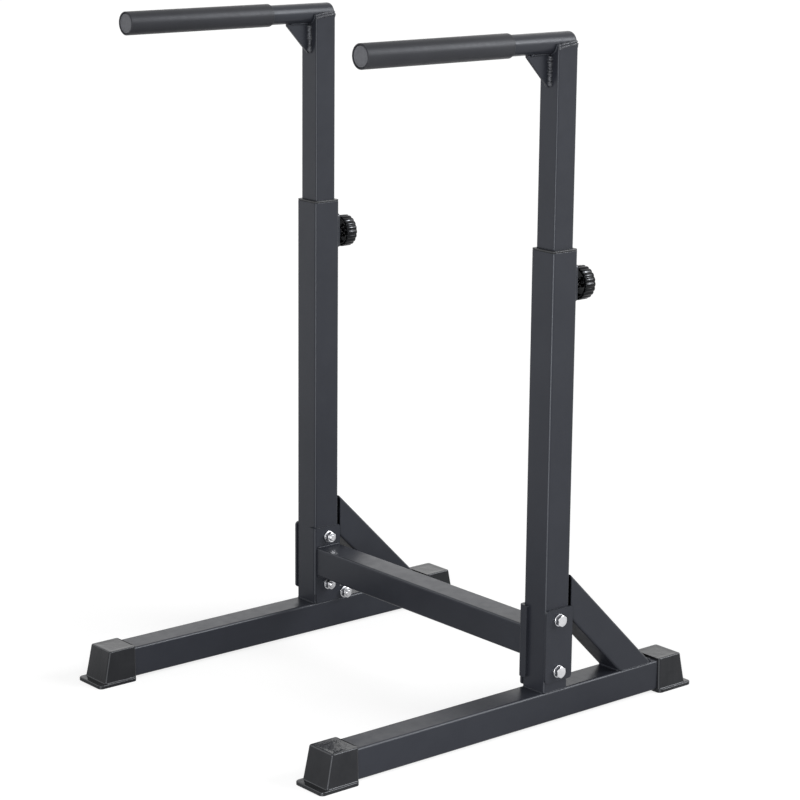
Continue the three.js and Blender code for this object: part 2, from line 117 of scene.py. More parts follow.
def rounded(w, h, r, cu=0.0, cv=0.0, n=7):
    points = []
    for k, (su, sv) in enumerate(((1, 1), (-1, 1), (-1, -1), (1, -1))):
        corner_u, corner_v = cu + su * (w / 2 - r), cv + sv * (h / 2 - r)
        for i in range(n + 1):
            a = (k + i / n) * math.pi / 2
            points.append((corner_u + r * math.cos(a), corner_v + r * math.sin(a)))
    return points


def turns(n):
    """n angles evenly round a circle."""
    return [2 * math.pi * i / n for i in range(n)]


def circle(r, cu=0.0, cv=0.0, n=64):
    return [(cu + r * math.cos(a), cv + r * math.sin(a)) for a in turns(n)]


def lift(axis, outline, t):
    return [to_axis(axis, u, v, t) for u, v in outline]


def skin(rings, loop=False):
    n = len(rings[0])
    verts = [p for ring in rings for p in ring]
    faces = []
    for k in range(len(rings) if loop else len(rings) - 1):
        a, b = k * n, (k + 1) % len(rings) * n
        faces += [(a + i, a + (i + 1) % n, b + (i + 1) % n, b + i) for i in range(n)]
    if not loop:
        last = (len(rings) - 1) * n
        faces += [tuple(reversed(range(n))), tuple(range(last, last + n))]
    return verts, faces


def new_object(name, bm):
    """Turns a bmesh into an object of its own in the scene."""
    mesh = bpy.data.meshes.new(name)
    bm.to_mesh(mesh)
    bm.free()
    obj = bpy.data.objects.new(name, mesh)
    scene.collection.objects.link(obj)
    return obj


def raw(side, name, shape):
    """A plain object with outward faces, moved to its side; side 0 is the middle."""
    verts, faces = shape
    bm = bmesh.new()
    shift = Vector((side * HALF_SPACING, AXIS_Y, 0))
    made = [bm.verts.new((Vector(v) + shift) * MM) for v in verts]
    for face in faces:
        bm.faces.new([made[i] for i in face])
    bmesh.ops.remove_doubles(bm, verts=bm.verts, dist=1e-6)
    bmesh.ops.dissolve_degenerate(bm, dist=1e-7, edges=bm.edges)
    bmesh.ops.recalc_face_normals(bm, faces=bm.faces)
    return new_object(name, bm)


def from_node(node, name):
    """A copy of a node's shape with its flat areas whole."""
    bm = bmesh.new()
    bm.from_mesh(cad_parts[node].data)
    bmesh.ops.remove_doubles(bm, verts=bm.verts, dist=2e-6)
    bmesh.ops.dissolve_limit(bm, angle_limit=math.radians(1), verts=bm.verts, edges=bm.edges)
    bmesh.ops.recalc_face_normals(bm, faces=bm.faces)
    return new_object(name, bm)


def joined(name, objs):
    """One object from several that stay separate shells."""
    bm = bmesh.new()
    for obj in objs:
        bm.from_mesh(obj.data)
        bpy.data.objects.remove(obj)
    return new_object(name, bm)


def combine(obj, operation, others):
    for other in others:
        step = obj.modifiers.new("join", "BOOLEAN")
        step.operation, step.solver, step.object = operation, "EXACT", other
        bpy.context.view_layer.update()
        graph = bpy.context.evaluated_depsgraph_get()
        mesh = bpy.data.meshes.new_from_object(obj.evaluated_get(graph))
        obj.modifiers.clear()
        obj.data = mesh
        bpy.data.objects.remove(other)
    return obj


def dress(obj, material, body, nodes=(), bevel=0.5, steps=2, angle=35):
    """Rounds the edges, gives the piece its material and body, and hides the CAD nodes it stands for."""
    obj.data.materials.clear()
    obj.data.materials.append(material)
    obj.data.shade_smooth()
    if bevel:
        edge = obj.modifiers.new("edge", "BEVEL")
        edge.width, edge.segments = bevel * MM, steps
        edge.limit_method, edge.angle_limit = "ANGLE", math.radians(angle)
        edge.miter_outer = "MITER_ARC"
        flat = obj.modifiers.new("flat", "WEIGHTED_NORMAL")
        flat.keep_sharp = True
    else:
        obj.data.set_sharp_from_angle(angle=math.radians(angle))
    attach(obj, body)
    if nodes:
        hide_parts(*nodes)
    return obj


def tube(axis, size, corner, wall, t0, t1, cu=0.0, cv=0.0):
    outer = rounded(size, size, corner, cu, cv)
    inner = rounded(size - 2 * wall, size - 2 * wall, corner - wall / 2, cu, cv)
    rings = [lift(axis, outer, t0), lift(axis, outer, t1), lift(axis, inner, t1), lift(axis, inner, t0)]
    return skin(rings, True)


def turned(axis, profile, cu=0.0, cv=0.0, loop=True, n=64):
    least = 1e-3   # keeps a ring on the axis from folding into one point
    return skin([lift(axis, circle(max(r, least), cu, cv, n), t) for r, t in profile], loop)


def arc(cr, ct, r, a0, a1, n=5):
    """Profile points round a corner, in degrees from the radial direction towards the axis."""
    points = []
    for i in range(n + 1):
        a = math.radians(a0 + (a1 - a0) * i / n)
        points.append((cr + r * math.cos(a), ct + r * math.sin(a)))
    return points


# Weld beads: a rippled roll of metal along a path
BEAD_STEP, BEAD_SIDES = 0.6, 12
BEAD_LAG, BEAD_DRIFT = 0.32, 0.18             # shares of the bead's radius
BEAD_WAIST, BEAD_RIPPLE, BEAD_TIP = 0.9, 0.2, 0.03
WOBBLE_RATE, DRIFT_RATE = 0.35, 0.22          # of the noise along the seam


def path_spots(points, closed):
    """Even spots along a path, as (distance, place), and the path's length."""
    lengths = [0.0]
    for a, b in zip(points, points[1:]):
        lengths.append(lengths[-1] + (b - a).length)
    count = max(8, int(lengths[-1] / BEAD_STEP))
    spots = []
    k = 0
    for i in range(count + 1 - closed):
        s = lengths[-1] * i / count
        while k < len(points) - 2 and lengths[k + 1] < s:
            k += 1
        share = (s - lengths[k]) / max(lengths[k + 1] - lengths[k], 1e-9)
        spots.append((s, points[k].lerp(points[k + 1], share)))
    return spots, lengths[-1]


def bead(side, name, path, radius, body, up=(0, 0, 1), closed=False, pitch=2.4, seed=0.0, rough=0.28,
         bright=False):
    """A rippled bead along a path. Its ripples trail on the side that up points to."""
    points = [Vector(p) for p in path]
    if closed:
        points.append(points[0])
    spots, total = path_spots(points, closed)
    rings = []
    normal = Vector(up)
    for i, (s, centre) in enumerate(spots):
        before = spots[i - 1][1] if i or closed else centre
        after = spots[(i + 1) % len(spots)][1] if i + 1 < len(spots) or closed else centre
        along = (after - before).normalized()
        normal = (normal - along * normal.dot(along)).normalized()
        across = along.cross(normal)
        wobble = noise.noise(Vector((s * WOBBLE_RATE, seed * 7.3, 1.7)))
        scale = BEAD_WAIST + BEAD_RIPPLE * abs(math.sin(math.pi * s / pitch)) + rough * wobble
        if not closed:
            end = min(s, total - s) / radius
            scale *= math.sqrt(max(BEAD_TIP, 1 - (1 - min(end, 1)) ** 2))
        drift = across * radius * BEAD_DRIFT * noise.noise(Vector((s * DRIFT_RATE, seed * 3.1, 9.2)))
        ring = []
        for a in turns(BEAD_SIDES):
            lag = -BEAD_LAG * radius * math.cos(a) * math.cos(a)
            spoke = (normal * math.cos(a) + across * math.sin(a)) * radius * scale
            ring.append(centre + drift + along * lag + spoke)
        rings.append(ring)
    obj = raw(side, name, skin(rings, closed))
    # Bright beads take the lighter weld colour, which is partly a painted highlight.
    return dress(obj, weld_paint_with_painted_glints if bright else paint, body, bevel=0, angle=70)


# Materials
COOL_SPECULAR = (0.89, 0.93, 1.0, 1)
MIX_FACTOR, MIX_COLOUR_A, MIX_COLOUR_B, MIX_COLOUR_OUT = 0, 6, 7, 2   # sockets of the mix node


def grain(tree, vector, scale, detail=4.0, rough=0.55, stretch=None):
    if stretch:
        mapping = tree.nodes.new("ShaderNodeMapping")
        mapping.inputs["Scale"].default_value = stretch
        tree.links.new(vector, mapping.inputs["Vector"])
        vector = mapping.outputs["Vector"]
    texture = tree.nodes.new("ShaderNodeTexNoise")
    texture.inputs["Scale"].default_value = scale
    texture.inputs["Detail"].default_value = detail
    texture.inputs["Roughness"].default_value = rough
    tree.links.new(vector, texture.inputs["Vector"])
    return texture.outputs["Fac"]


def spread(tree, value, low, high, start=0.3, end=0.7):
    """Maps a value from start..end to low..high."""
    node = tree.nodes.new("ShaderNodeMapRange")
    for key, number in (("From Min", start), ("From Max", end), ("To Min", low), ("To Max", high)):
        node.inputs[key].default_value = number
    tree.links.new(value, node.inputs["Value"])
    return node.outputs["Result"]


def tint(tree, value, low, high, start=0.3, end=0.7):
    node = tree.nodes.new("ShaderNodeValToRGB")
    first, second = node.color_ramp.elements
    first.position, second.position = start, end
    first.color, second.color = (*low, 1), (*high, 1)
    tree.links.new(value, node.inputs["Fac"])
    return node.outputs["Color"]


def calculated(tree, operation, *values):
    """A math node on one or two sockets."""
    node = tree.nodes.new("ShaderNodeMath")
    node.operation = operation
    for value, socket in zip(values, node.inputs):
        tree.links.new(value, socket)
    return node.outputs[0]


def bumps(tree, shader, layers):
    """Bump layers as (height, strength, distance in mm), each on top of the last."""
    last = None
    for height, strength, distance in layers:
        node = tree.nodes.new("ShaderNodeBump")
        node.inputs["Strength"].default_value = strength
        node.inputs["Distance"].default_value = distance * MM
        tree.links.new(height, node.inputs["Height"])
        if last:
            tree.links.new(last, node.inputs["Normal"])
        last = node.outputs["Normal"]
    tree.links.new(last, shader.inputs["Normal"])


def corner_highlight_mask(tree):
    """1 along the middle of the rounded corners of pieces that lie square, 0 on their flat sides: where the
    painted corner highlight goes.
    """
    coords = tree.nodes.new("ShaderNodeTexCoord")
    parts = tree.nodes.new("ShaderNodeSeparateXYZ")
    tree.links.new(coords.outputs["Normal"], parts.inputs[0])
    best = None
    for a, b in (("X", "Y"), ("Y", "Z"), ("X", "Z")):
        product = calculated(tree, "MULTIPLY", parts.outputs[a], parts.outputs[b])
        size = calculated(tree, "ABSOLUTE", product)
        best = calculated(tree, "MAXIMUM", best, size) if best else size
    return spread(tree, best, 0.0, 1.0, 0.41, 0.48)


def surface(name, low, high, rough, cloud, fine, layers, metallic=0.0, ior=1.45, painted_highlight_colour=None):
    """A material with a cloudy colour from low to high, uneven roughness and bumps.

    cloud and fine are the scales of the colour's and the roughness's noise. Layers of bumps are
    (scale, strength, distance), with a stretch along each axis as a fourth value where the grain
    has a direction. The last argument, where it is given, is a lighter colour painted along the
    rounded corners: a painted highlight."""
    material = bpy.data.materials.new(name)
    material.use_nodes = True
    tree = material.node_tree
    shader = tree.nodes["Principled BSDF"]
    coords = tree.nodes.new("ShaderNodeTexCoord").outputs["Object"]
    colour = tint(tree, grain(tree, coords, cloud, 5.0, 0.6), low, high)
    # A lighter colour painted along the rounded corners: a painted highlight in place of the lamps'
    # reflection there.
    if painted_highlight_colour:
        mix = tree.nodes.new("ShaderNodeMix")
        mix.data_type = "RGBA"
        mix.inputs[MIX_COLOUR_B].default_value = (*painted_highlight_colour, 1)
        tree.links.new(corner_highlight_mask(tree), mix.inputs[MIX_FACTOR])
        tree.links.new(colour, mix.inputs[MIX_COLOUR_A])
        colour = mix.outputs[MIX_COLOUR_OUT]
    tree.links.new(colour, shader.inputs["Base Color"])
    tree.links.new(spread(tree, grain(tree, coords, fine, 3.0), *rough), shader.inputs["Roughness"])
    bumps(tree, shader, [(grain(tree, coords, scale, 3.0, 0.55, *stretch), power, depth)
                         for scale, power, depth, *stretch in layers])
    shader.inputs["Metallic"].default_value = metallic
    shader.inputs["IOR"].default_value = ior
    shader.inputs["Specular Tint"].default_value = COOL_SPECULAR
    return material


coat = {"low": (0.0196, 0.0213, 0.0276), "high": (0.0247, 0.0267, 0.0340), "rough": (0.29, 0.37),
        "cloud": 9.0, "fine": 60.0, "layers": [(1500.0, 0.35, 0.05), (320.0, 0.30, 0.12)], "ior": 1.35}
paint = surface("charcoal_powder_coat", **coat)
# The same coat with a painted highlight along its rounded corners.
paint_with_painted_corner_highlights = surface("charcoal_powder_coat_with_painted_corner_highlights", **coat, painted_highlight_colour=(0.060, 0.063, 0.072))
# Lighter than the coat: partly bare weld metal, partly a painted highlight for the beads' glints.
weld_paint_with_painted_glints = surface("weld_metal_and_painted_glints", (0.028, 0.029, 0.034), (0.105, 0.108, 0.118), (0.20, 0.34),
                     260.0, 200.0, [(700.0, 0.4, 0.10)])
# The feet's rubber has a lighter colour painted along its rounded corners: a painted highlight.
rubber = surface("foot_rubber", (0.0115, 0.0119, 0.0134), (0.0200, 0.0204, 0.0224), (0.10, 0.18),
                 22.0, 90.0, [(900.0, 0.10, 0.03), (85.0, 0.50, 0.8, (1.0, 1.0, 0.1))], ior=1.36,
                 painted_highlight_colour=(0.074, 0.076, 0.081))
foam = surface("grip_sleeve", (0.021, 0.0215, 0.0250), (0.027, 0.0275, 0.0315), (0.38, 0.46),
               18.0, 120.0, [(1300.0, 0.5, 0.08), (180.0, 0.3, 0.15)], ior=1.34)
zinc = surface("zinc_plate", (0.62, 0.63, 0.65), (0.80, 0.80, 0.82), (0.20, 0.36),
               70.0, 260.0, [(700.0, 0.25, 0.05)], metallic=1.0)
spring_steel = surface("spring_steel", (0.38, 0.38, 0.40), (0.48, 0.48, 0.50), (0.28, 0.4),
                       90.0, 300.0, [(900.0, 0.2, 0.04)], metallic=1.0)
guide = surface("guide_plastic", (0.020, 0.020, 0.021), (0.028, 0.028, 0.029), (0.34, 0.46),
                40.0, 120.0, [(1100.0, 0.3, 0.05)])
plug_grey = surface("plug_plastic", (0.092, 0.094, 0.104), (0.128, 0.130, 0.142), (0.42, 0.55),
                    160.0, 300.0, [(900.0, 0.6, 0.12), (260.0, 0.4, 0.15)])
gloss = surface("knob_plastic", (0.0012, 0.0012, 0.0015), (0.0026, 0.0026, 0.0030), (0.03, 0.08),
                30.0, 140.0, [(500.0, 0.05, 0.02)], ior=1.27)


# Fasteners, along X: the head points to the outer side
CORNER_CUT, CHAMFER = 0.965, math.radians(30)  # a chamfer starts at this share of the half width
BLUNT = 0.15                                   # on the edge of an end without a chamfer


def hexagon(side, across, t0, t1, chamfer_low, chamfer_high, n=72):
    """A hexagon with its corners turned off at either end."""
    cut_r = across / 2 * CORNER_CUT
    rings = []
    ends = ((t0, 1, chamfer_low), (t1, -1, chamfer_high))
    for end, inwards, chamfer in ends:
        tip, body = [], []
        for a in turns(n):
            r = across / 2 / math.cos((a + math.pi / 6) % (math.pi / 3) - math.pi / 6)
            drop = (r - cut_r) * math.tan(CHAMFER) if chamfer else BLUNT
            tip.append((cut_r if chamfer else r - BLUNT, a, end))
            body.append((r, a, end + inwards * drop))
        rings += [tip, body] if end == t0 else [body, tip]
    return [[(side * t, r * math.cos(a), r * math.sin(a)) for r, a, t in ring] for ring in rings]


def moved(shape, y, z):
    verts, faces = shape
    return [(v[0], v[1] + y, v[2] + z) for v in verts], faces


def threaded(side, r, t0, t1, pitch=1.5, n=40):
    """A thread's crests and roots as fine rings between t0 and t1."""
    crest, root, neck, core = r * 0.98, r * 0.88, r * 0.86, r * 0.55
    profile = [(core, t0), (neck, t0), (crest, t0 + 0.5)]
    t = t0 + 0.5
    while t + pitch < t1:
        profile += [(crest, t + pitch * 0.15), (root, t + pitch * 0.5), (crest, t + pitch * 0.85)]
        t += pitch
    profile += [(crest, t1), (core, t1)]
    return skin([[(side * t, rr * math.cos(a), rr * math.sin(a)) for a in turns(n)] for rr, t in profile])


def fastener(prefix, side, kind, y, z, head_start, has_washer):
    seat = -(PLATE_OUT + FIT)

    def piece(name, shape):
        return raw(side, name, moved(shape, y, z))

    def ring(profile):
        return turned("x", [(r, side * t) for r, t in profile])

    def finish(obj, name, bevel):
        dress(obj, zinc, "frame", [f"{prefix}_{kind}_{name}"], bevel=bevel, angle=28)

    head_end = head_start + BOLT_HEAD
    head = piece("head", skin(hexagon(side, HEAD_ACROSS, head_start, head_end, False, True)))
    shank = piece("shank", threaded(side, BOLT_R, seat - NUT - BOLT_TAIL, head_start + 1.0))
    finish(joined(f"{prefix}_{kind}_bolt_fine", [head, shank]), "bolt", 0.25)

    bore_r, flange_r, back = BOLT_R + FIT, NUT_FLANGE_R, seat - NUT_FLANGE
    outline = [(bore_r, seat), (flange_r - 0.8, seat), (flange_r, seat - 0.7), (flange_r - 0.1, seat - 1.6),
               (NUT_ACROSS / 2 + 0.2, back), (bore_r, back)]
    flange = piece("flange", ring(outline))
    rings = hexagon(side, NUT_ACROSS, seat - NUT, seat - NUT_BASE, True, False)
    bore = [[(end[0][0], y0, z0) for y0, z0 in circle(bore_r, n=len(end))] for end in (rings[-1], rings[0])]
    body = piece("body", skin(rings + bore, True))
    finish(joined(f"{prefix}_{kind}_nut_fine", [flange, body]), "nut", 0.2)

    if has_washer:
        start, end = head_start - FIT - WASHER, head_start - FIT
        outline = [(WASHER_HOLE_R, start), (WASHER_R - 0.4, start), (WASHER_R, start + 0.4),
                   (WASHER_R, end - 0.5), (WASHER_R - 0.5, end), (WASHER_HOLE_R, end)]
        finish(piece(f"{prefix}_{kind}_washer_fine", ring(outline)), "washer", 0.15)


# Sheet pieces, drawn for the right side; side mirrors them
SHEET = FLANGE_OUT - FLANGE_IN
SHEET_HEIGHT, SHEET_MIDDLE = SHEET_HIGH - SHEET_LOW, (SHEET_LOW + SHEET_HIGH) / 2
BRACKET_LAP, BRACKET_CORNER = 1.5, 6.0        # the lap is past the upright's front
LIP, LIP_CORNER = 17.0, 4.0
EAR_Z, EAR_HEIGHT, EAR_CORNER = RAIL_TOP + 12.0, 22.0, 5.0


def slab(side, name, axis, outline, t0, t1):
    rings = [lift(axis, outline, t) for t in (t0, t1)]
    return raw(side, name, skin([[(side * x, y, z) for x, y, z in ring] for ring in rings]))


def between(low, high, height, corner, centre):
    """A rounded outline from low to high, as tall as height round a centre."""
    return rounded(high - low, height, corner, (low + high) / 2, centre, 8)


def bolt_cutters(side):
    reach = HALF + 15.0
    return [slab(side, "hole", "x", circle(HOLE_R, y, z, 40), -reach, reach) for y, z in BOLT_SPOTS]


def bracket(prefix, side):
    """A cheek on the upright's outer face, a web behind it and a leg with an ear at the inner side."""
    cheek = between(-HALF - BRACKET_LAP, FLANGE_OUT, SHEET_HEIGHT, BRACKET_CORNER, SHEET_MIDDLE)
    obj = slab(side, f"{prefix}_bracket_fine", "x", cheek, FLANGE_IN, FLANGE_OUT)
    low, high, inner = SHEET_LOW + BRACKET_CORNER, SHEET_HIGH - BRACKET_CORNER, SHEET - HALF
    web = [(-HALF, low), (FLANGE_OUT, low), (FLANGE_OUT, high), (-HALF, high)]
    leg_foot, leg_top = BOLT_SPOTS[-1][1], low + SHEET
    leg = [(-HALF, leg_foot), (inner, leg_foot), (inner, leg_top), (-HALF, leg_top)]
    tab = between(FLANGE_IN, EAR_BACK, EAR_HEIGHT, EAR_CORNER, EAR_Z)
    combine(obj, "UNION", [slab(side, "web", "y", web, FLANGE_IN, FLANGE_OUT),
                           slab(side, "leg", "y", leg, FLANGE_IN, FLANGE_OUT),
                           slab(side, "tab", "x", tab, -HALF, inner)])
    combine(obj, "DIFFERENCE", bolt_cutters(side))
    dress(obj, paint_with_painted_corner_highlights, "frame", [f"{prefix}_bracket"], bevel=0.8, steps=3, angle=40)


def end_plate(prefix, side):
    """A plate on the upright's inner face, with a lip round its front and a foot back to the ear."""
    plate = between(-PLATE_OUT, HALF, SHEET_HEIGHT, LIP_CORNER, SHEET_MIDDLE)
    obj = slab(side, f"{prefix}_end_plate_fine", "x", plate, -PLATE_OUT, -FLANGE_IN)
    lip = between(-PLATE_OUT, LIP - PLATE_OUT, SHEET_HEIGHT, LIP_CORNER, SHEET_MIDDLE)
    foot = between(-HALF, EAR_BACK, EAR_HEIGHT, EAR_CORNER, EAR_Z)
    combine(obj, "UNION", [slab(side, "lip", "y", lip, -PLATE_OUT, -FLANGE_IN),
                           slab(side, "foot", "x", foot, -PLATE_OUT, -FLANGE_IN)])
    length, low, high = 90.0, RAIL_TOP - 15.0, SHEET_HIGH + 10.0
    bend = rounded(2 * PLATE_OUT, length, PLATE_OUT - FLANGE_IN, 0.0, length / 2 - PLATE_OUT, 8)
    combine(obj, "INTERSECT", [slab(side, "bend", "z", bend, low, high)])
    combine(obj, "DIFFERENCE", bolt_cutters(side))
    dress(obj, paint_with_painted_corner_highlights, "frame", [f"{prefix}_end_plate"], bevel=0.9, steps=3, angle=40)


# Feet: rings from the floor up. inset draws in the sides and the tip of a ring.
FOOT_WALL, FOOT_LENGTH, FOOT_FLOOR = 3.0, 50.0, 5.0
FOOT_FLARE, FOOT_LEAN = 1.5, 11.0             # of the body at the flange, at the sides and the end
FLANGE_SIDE, FLANGE_END = 3.0, 12.0
FOOT_TOP = RAIL_TOP + FIT + FOOT_WALL
FLANGE_CORNER, BODY_CORNER = 7.5, 4.0
FLANGE_RINGS = ((0.0, 1.0), (0.4, 0.3), (1.1, 0.0), (4.6, 0.0), (5.6, 0.3), (6.15, 0.9), (6.3, 1.7))
BODY_RINGS = ((6.45, -0.9), (7.1, -0.25), (8.2, 0.0), (20.0, 0.12), (38.0, 0.12), (56.2, 0.0), (57.3, 0.3),
              (58.0, 0.9), (58.3, 1.9), (58.1, 6.0))
LAST_RING = (57.7, 12.0)


def boot(prefix, side, is_front):
    sign, end = (-1, -RAIL_FRONT) if is_front else (1, RAIL_BACK)
    tip = end + FIT + FOOT_WALL
    mouth = tip - FOOT_LENGTH
    half_width = HALF + FIT + FOOT_WALL
    least_corner = 0.8

    def ring(z, half, front, inset, corner):
        flat = rounded(2 * (half - inset), front - mouth - inset, max(corner - inset, least_corner), 0.0,
                       (mouth + front - inset) / 2, 8)
        return [(x, sign * y, z) for x, y in flat]

    def body_ring(z, inset, corner=BODY_CORNER):
        share = (FOOT_TOP - z) / (FOOT_TOP - FOOT_FLOOR)
        return ring(z, half_width + FOOT_FLARE * share, tip + FOOT_LEAN * share, inset, corner)

    flange_half, flange_tip = half_width + FOOT_FLARE + FLANGE_SIDE, tip + FOOT_LEAN + FLANGE_END
    rings = [ring(z, flange_half, flange_tip, inset, FLANGE_CORNER) for z, inset in FLANGE_RINGS]
    rings += [body_ring(z, inset) for z, inset in BODY_RINGS]
    rings.append(body_ring(*LAST_RING, LAST_RING[1] + 1.0))
    where = "front" if is_front else "rear"
    obj = raw(side, f"{prefix}_{where}_foot_fine", skin(rings))
    opening = TUBE + 2 * FIT
    pocket = rounded(opening, opening, TUBE_CORNER + FIT, 0.0, FOOT_FLOOR + HALF)
    start, stop = sign * (mouth - 5.0), sign * (end + FIT)
    cutter = raw(side, "pocket", skin([lift("y", pocket, start), lift("y", pocket, stop)]))
    combine(obj, "DIFFERENCE", [cutter])
    dress(obj, rubber, "frame", [f"{prefix}_{where}_foot"], bevel=0.5, steps=2, angle=50)


# Knob: a fluted rim, a hollow side towards the upright and a hub on the pin
KNOB_LOBES, POINTS_PER_LOBE, FLUTE = 20, 12, 1.2
KNOB_FACE = KNOB_END - 6.0                    # the hollow's floor
KNOB_HUB = KNOB_END - 9.5                     # the hub's face, towards the upright
KNOB_RINGS = (                                # place, inset, share of the flutes' depth
    (KNOB_END - 0.9, 12.6, 0.0), (KNOB_END - 0.9, 12.0, 0.0), (KNOB_END - 0.2, 11.0, 0.0),
    (KNOB_END, 9.6, 0.0), (KNOB_END, 3.4, 0.1), (KNOB_END - 0.2, 2.4, 0.5), (KNOB_END - 0.7, 1.2, 0.9),
    (KNOB_END - 1.6, 0.35, 1.0), (KNOB_END - 2.8, 0.0, 1.0), (KNOB_START + 1.4, 0.0, 1.0),
    (KNOB_START + 0.5, 0.3, 1.0), (KNOB_START, 1.0, 0.9), (KNOB_START, 4.0, 0.2),
    (KNOB_START + 0.6, 5.2, 0.0), (KNOB_START + 2.0, 5.6, 0.0), (KNOB_FACE - 1.5, 6.4, 0.0),
    (KNOB_FACE, 8.0, 0.0), (KNOB_FACE, 18.0, 0.0), (KNOB_FACE - 1.0, 18.6, 0.0),
    (KNOB_HUB + 0.4, 18.8, 0.0), (KNOB_HUB, 19.2, 0.0), (KNOB_HUB, 22.0, 0.0), (KNOB_HUB + 4.3, 22.2, 0.0),
)


def knob(prefix, side):
    def ring(y, inset, lobed):
        points = []
        for a in turns(KNOB_LOBES * POINTS_PER_LOBE):
            hollow = (1 - math.cos(KNOB_LOBES * a)) / 2
            r = KNOB_R - inset - lobed * FLUTE * hollow ** 2
            points.append((r * math.cos(a), y, PIN_Z + r * math.sin(a)))
        return points

    obj = raw(side, f"{prefix}_knob_fine", skin([ring(*row) for row in KNOB_RINGS]))
    dress(obj, gloss, f"{prefix}_knob", [f"{prefix}_knob"], bevel=0, angle=50)


# Brace: a tube mitred to the rail and to the bracket's web
def brace(prefix, side):
    angle = math.radians(BRACE_ANGLE)
    c, s = math.cos(angle), math.sin(angle)
    web_back, foot_z = FLANGE_OUT + FIT, RAIL_TOP + FIT

    def ends(size, corner):
        top, foot = [], []
        for u, v in rounded(size, size, corner):
            y, z = BRACE_REACH + v * s, RAIL_TOP + v * c
            t = (web_back - y) / c
            top.append((u, web_back, z - t * s))
            t = (z - foot_z) / s
            foot.append((u, y + t * c, foot_z))
        return top, foot

    outer_top, outer_foot = ends(TUBE, TUBE_CORNER)
    inner_top, inner_foot = ends(TUBE - 2 * TUBE_WALL, TUBE_CORNER - TUBE_WALL / 2)
    obj = raw(side, f"{prefix}_brace_fine", skin([outer_top, outer_foot, inner_foot, inner_top], True))
    dress(obj, paint, "frame", [f"{prefix}_brace"], bevel=0.4, angle=40)


# Post with its saddle and holes
def post(prefix, side):
    def cutter(name, r, start, end, z, n):
        return raw(side, name, turned("y", [(r, start), (r, end)], 0.0, z, False, n))

    inside, outside = POST / 4, POST / 2 + 10.0
    obj = raw(side, f"{prefix}_post_fine", tube("z", POST, POST_CORNER, POST_WALL, POST_LOW, BAR_Z))
    saddle = cutter("saddle", BAR_R + FIT, -outside, outside, BAR_Z, 96)
    holes = [cutter("hole", POST_HOLE_R, inside, outside, PIN_Z + HOLE_PITCH * k, 40)
             for k in range(-HOLES_BELOW, HOLES_ABOVE + 1)]
    combine(obj, "DIFFERENCE", [saddle, *holes])
    dress(obj, paint_with_painted_corner_highlights, f"{prefix}_bar", [f"{prefix}_post"], bevel=0.35, angle=40)


# Bar with its cap, plug, sleeve and gusset, from profiles of (radius, place)
CAP, PLUG_STEM = 3.0, 15.7                    # outside the bar and inside it


def bar(prefix, side):
    body = f"{prefix}_bar"
    inner = BAR_R - BAR_WALL

    def part(name, profile, material, loop=False):
        obj = raw(side, f"{prefix}_{name}_fine", turned("y", profile, 0.0, BAR_Z, loop, 96))
        dress(obj, material, body, [f"{prefix}_{name}"], bevel=0, angle=45)

    profile = [(inner, BAR_FRONT), (BAR_R, BAR_FRONT), (BAR_R, BAR_REAR - 2.2),
               (BAR_R - 0.2, BAR_REAR - 1.0), (BAR_R - 0.6, BAR_REAR), (inner, BAR_REAR)]
    part("hand_bar", profile, paint, True)

    near, far = BAR_REAR + FIT, BAR_REAR + FIT + CAP
    profile = [(0.0, near), (BAR_R - 0.7, near), (BAR_R - 1.4, far - 2.1), (BAR_R - 2.4, far - 1.2),
               (BAR_R - 3.7, far - 0.5), (BAR_R - 5.2, far - 0.1), (BAR_R - 6.8, far), (0.0, far)]
    part("bar_rear_cap", profile, paint)

    front, back, stem = BAR_FRONT - FIT - CAP, BAR_FRONT - FIT + PLUG_STEM, inner - FIT
    profile = [(0.0, front + 0.7), (12.4, front + 0.7), (12.9, front + 0.2)]
    profile += arc(14.0, front + 0.6, 0.6, -150, -90, 2) + arc(14.5, front + 0.8, 0.8, -90, 0, 4)
    profile += [(15.3, front + CAP), (stem, front + CAP), (stem, back), (0.0, back)]
    part("bar_front_plug", profile, plug_grey)

    bore = BAR_R + FIT
    profile = [(bore, GRIP_FRONT + 0.6), (bore + 0.5, GRIP_FRONT)]
    profile += arc(GRIP_R - 1.0, GRIP_FRONT + 1.0, 1.0, -90, 0, 4) + [(GRIP_R, GRIP_BACK - 80.0)]
    profile += arc(GRIP_R - 1.8, GRIP_BACK - 1.9, 1.8, 0, 70, 5)
    profile += [(bore + 0.2, GRIP_BACK), (bore, GRIP_BACK - 0.2)]
    part("grip", profile, foam, True)

    obj = from_node(f"{prefix}_bar_gusset", f"{prefix}_bar_gusset_fine")
    dress(obj, paint, body, [f"{prefix}_bar_gusset"], bevel=0.6)


def bush(prefix, side):
    """The post's guide: a lip on the upright's top and a sleeve inside it."""
    lip_height, depth = 2.6, 44.0
    hole, body = POST + 2 * SLIDE, TUBE - 2 * TUBE_WALL - 2 * FIT
    lip = rounded(TUBE, TUBE, TUBE_CORNER)
    opening = rounded(hole, hole, POST_CORNER + SLIDE)
    sleeve = rounded(body, body, TUBE_CORNER - TUBE_WALL / 2)
    bottom = UPRIGHT_TOP + FIT
    rings = [lift("z", outline, z) for outline, z in (
        (opening, bottom + lip_height), (lip, bottom + lip_height), (lip, bottom), (sleeve, bottom),
        (sleeve, bottom - depth), (opening, bottom - depth))]
    obj = raw(side, f"{prefix}_post_bush_fine", skin(rings, True))
    dress(obj, guide, "frame", [f"{prefix}_post_bush"], bevel=0.7, steps=3)


